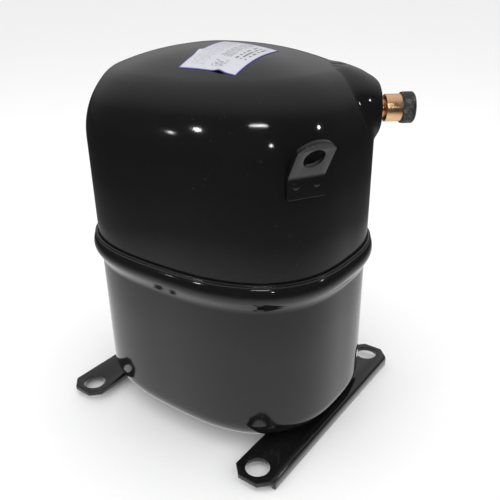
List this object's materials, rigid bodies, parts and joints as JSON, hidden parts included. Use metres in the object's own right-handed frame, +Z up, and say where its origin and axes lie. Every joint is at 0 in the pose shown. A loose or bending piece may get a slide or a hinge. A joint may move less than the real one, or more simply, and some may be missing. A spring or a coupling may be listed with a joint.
{
  "type": "hermetic reciprocating compressor",
  "caption": "Welded oval black steel compressor shell on two mounting rails, with copper pipe stubs, a spring-hung motor above a two-cylinder pump, and a rear terminal box.",
  "frame": {"origin": "centre of the four mounting holes, on the underside of the two rails, where the grommets sit", "axes": "+Z up along the crankshaft, +X across the two rails towards the cylinder head, +Y along the rails towards the terminal box"},
  "size_m": [0.2803, 0.2449, 0.3134],
  "materials": {
    "gloss_black_paint": "gloss black baked enamel on drawn steel",
    "weld_bead": "gloss black enamel over a weld bead",
    "copper": "satin copper-plated steel",
    "copper_tube": "drawn copper",
    "black_rubber": "matt black rubber",
    "label_stock": "white polyester film with a violet edge",
    "glass": "sealing glass",
    "nickel_pin": "bright nickel plate",
    "black_plastic": "moulded black plastic",
    "grey_plastic": "moulded grey plastic",
    "zinc_steel": "zinc-plated steel",
    "spring_steel": "oiled spring steel",
    "ground_steel": "ground steel",
    "cast_iron": "as-cast grey iron",
    "aluminium": "die-cast aluminium",
    "lamination": "blued lamination stack",
    "winding": "enamelled copper wire with lacing",
    "bronze": "sintered bronze",
    "gasket": "graphite gasket sheet",
    "lead_wire": "insulated lead wire"
  },
  "bodies": {
    "shell": {"lower_shell": "gloss_black_paint", "upper_shell": "gloss_black_paint", "shell_weld_bead": "weld_bead", "rail_left": "gloss_black_paint", "rail_right": "gloss_black_paint", "lifting_lug_front": "gloss_black_paint", "lifting_lug_rear": "gloss_black_paint", "suction_stub": "copper", "discharge_stub": "copper", "process_tube": "copper_tube", "terminal_body": "ground_steel", "terminal_glass_seals": "glass", "terminal_pins": "nickel_pin", "terminal_box": "gloss_black_paint", "cluster_plug": "grey_plastic", "spring_seats": "grey_plastic", "label": "label_stock"},
    "pump": {"crankcase": "cast_iron", "main_bearing_bush": "bronze", "lower_bearing_plate": "cast_iron", "suspension_springs": "spring_steel", "stator_core": "lamination", "stator_windings": "winding", "stator_bolts": "zinc_steel", "cylinder_gasket": "gasket", "valve_plate": "ground_steel", "head_gasket": "gasket", "cylinder_head": "cast_iron", "head_bolts": "zinc_steel", "discharge_valve_stops": "ground_steel", "discharge_muffler": "ground_steel", "crossover_tube": "copper_tube", "discharge_loop": "copper_tube", "suction_intake_tube": "ground_steel", "motor_protector": "grey_plastic", "lead_wires": "lead_wire"},
    "crank": {"crankshaft": "ground_steel", "rotor_core": "lamination", "rotor_end_rings": "aluminium", "rotor_counterweight": "ground_steel", "oil_pickup_tube": "ground_steel"},
    "suction_cap": {"suction_cap": "black_rubber"},
    "discharge_cap": {"discharge_cap": "black_rubber"},
    "terminal_cover": {"terminal_cover": "black_plastic"},
    "terminal_bail": {"terminal_bail": "zinc_steel"},
    "ring_lower": {"eccentric_ring_lower": "bronze"},
    "piston_group_lower": {"connecting_rod_lower": "aluminium", "piston_lower": "aluminium", "wrist_pin_lower": "ground_steel", "piston_ring_lower": "cast_iron"},
    "suction_reed_lower": {"suction_reed_lower": "spring_steel"},
    "discharge_reed_lower": {"discharge_reed_lower": "spring_steel"},
    "ring_upper": {"eccentric_ring_upper": "bronze"},
    "piston_group_upper": {"connecting_rod_upper": "aluminium", "piston_upper": "aluminium", "wrist_pin_upper": "ground_steel", "piston_ring_upper": "cast_iron"},
    "suction_reed_upper": {"suction_reed_upper": "spring_steel"},
    "discharge_reed_upper": {"discharge_reed_upper": "spring_steel"}
  },
  "joints": [
    {"name": "pump_float", "type": "slide", "parent": "shell", "child": "pump", "axis": [0, 0, 1], "range_m": [-0.003, 0.003], "stiffness_N_per_m": 30000, "springref_m": 0.00603, "deforming": ["suspension_springs", "discharge_loop", "lead_wires"]},
    {"name": "crank_spin", "type": "hinge", "parent": "pump", "child": "crank", "pos_m": [0, 0, 0.083], "axis": [0, 0, 1], "continuous": true},
    {"name": "ring_lower_turn", "type": "hinge", "parent": "crank", "child": "ring_lower", "pos_m": [0.005, 0, 0.059], "axis": [0, 0, 1], "continuous": true},
    {"name": "rod_lower_turn", "type": "hinge", "parent": "ring_lower", "child": "piston_group_lower", "pos_m": [0.01, 0, 0.059], "axis": [0, 0, 1], "continuous": true},
    {"name": "suction_reed_lower_lift", "type": "hinge", "parent": "pump", "child": "suction_reed_lower", "pos_m": [0.081, -0.009, 0.046], "axis": [0, -1, 0], "range_deg": [0, 3.5], "stiffness_Nm_per_rad": 0.05},
    {"name": "discharge_reed_lower_lift", "type": "hinge", "parent": "pump", "child": "discharge_reed_lower", "pos_m": [0.086, 0.009, 0.046], "axis": [0, 1, 0], "range_deg": [0, 3.5], "stiffness_Nm_per_rad": 0.05},
    {"name": "ring_upper_turn", "type": "hinge", "parent": "crank", "child": "ring_upper", "pos_m": [-0.005, 0, 0.107], "axis": [0, 0, 1], "continuous": true},
    {"name": "rod_upper_turn", "type": "hinge", "parent": "ring_upper", "child": "piston_group_upper", "pos_m": [-0.01, 0, 0.107], "axis": [0, 0, 1], "continuous": true},
    {"name": "suction_reed_upper_lift", "type": "hinge", "parent": "pump", "child": "suction_reed_upper", "pos_m": [0.081, -0.009, 0.094], "axis": [0, -1, 0], "range_deg": [0, 3.5], "stiffness_Nm_per_rad": 0.05},
    {"name": "discharge_reed_upper_lift", "type": "hinge", "parent": "pump", "child": "discharge_reed_upper", "pos_m": [0.086, 0.009, 0.094], "axis": [0, 1, 0], "range_deg": [0, 3.5], "stiffness_Nm_per_rad": 0.05},
    {"name": "suction_cap_pull", "type": "slide", "parent": "shell", "child": "suction_cap", "axis": [0.788, 0.6157, 0], "range_m": [0, 0.03]},
    {"name": "discharge_cap_pull", "type": "slide", "parent": "shell", "child": "discharge_cap", "axis": [-0.9659, 0.2588, 0], "range_m": [0, 0.03]},
    {"name": "terminal_bail_swing", "type": "hinge", "parent": "shell", "child": "terminal_bail", "pos_m": [0, 0.1132, 0.167], "axis": [1, 0, 0], "range_deg": [-110, 0]},
    {"name": "terminal_cover_pull", "type": "slide", "parent": "shell", "child": "terminal_cover", "axis": [0, 1, 0], "range_m": [0, 0.0255]}
  ],
  "couplings": [
    {"joint": "ring_lower_turn", "follows": "crank_spin", "ratio": -2},
    {"joint": "rod_lower_turn", "follows": "crank_spin", "ratio": 1},
    {"joint": "ring_upper_turn", "follows": "crank_spin", "ratio": -2},
    {"joint": "rod_upper_turn", "follows": "crank_spin", "ratio": 1},
    {"joint": "terminal_cover_pull", "follows": "terminal_bail_swing", "m_per_rad": -0.013}
  ]
}
